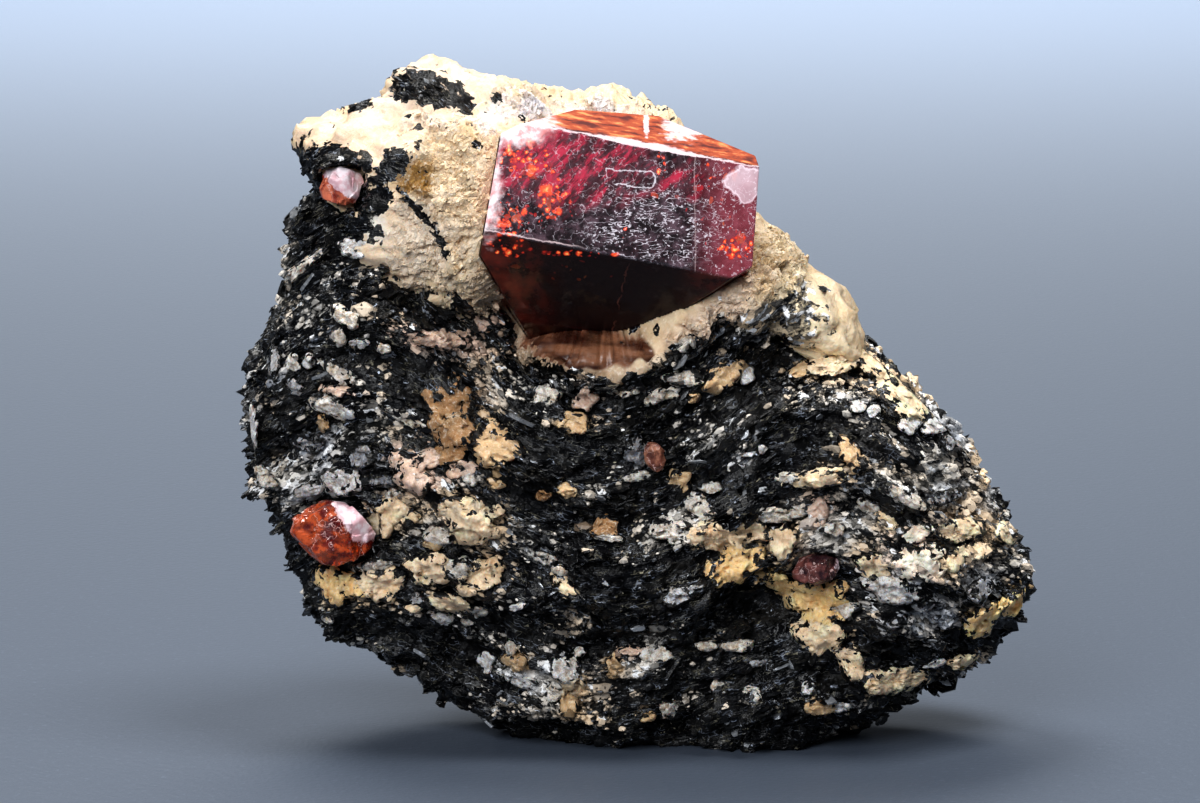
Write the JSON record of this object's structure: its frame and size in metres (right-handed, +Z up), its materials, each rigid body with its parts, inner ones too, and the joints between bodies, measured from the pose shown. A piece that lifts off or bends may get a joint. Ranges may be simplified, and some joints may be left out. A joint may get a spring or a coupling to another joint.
{
  "type": "zircon crystal on biotite matrix",
  "caption": "Hand specimen of a translucent red zircon crystal seated in feldspar on dark foliated biotite rock, standing on a flat cut base.",
  "frame": {"origin": "centre of the specimen's footprint box at the flat cut base it stands on", "axes": "+X to the right along the specimen's length, -Y towards the viewer and out of the large crystal's front face, +Z up from the base"},
  "size_m": [0.0603, 0.0318, 0.0509],
  "materials": {
    "biotite": "glossy black mica flakes with pale grains",
    "feldspar": "matt granular cream to tan",
    "zircon": "polished, translucent deep red, frosted at its left edge"
  },
  "bodies": {
    "root": {"biotite_matrix": "biotite", "feldspar_cap": "feldspar", "zircon_main": "zircon", "zircon_lower_left": "zircon", "zircon_upper_left": "zircon", "zircon_centre": "zircon", "zircon_right": "zircon"}
  },
  "joints": []
}
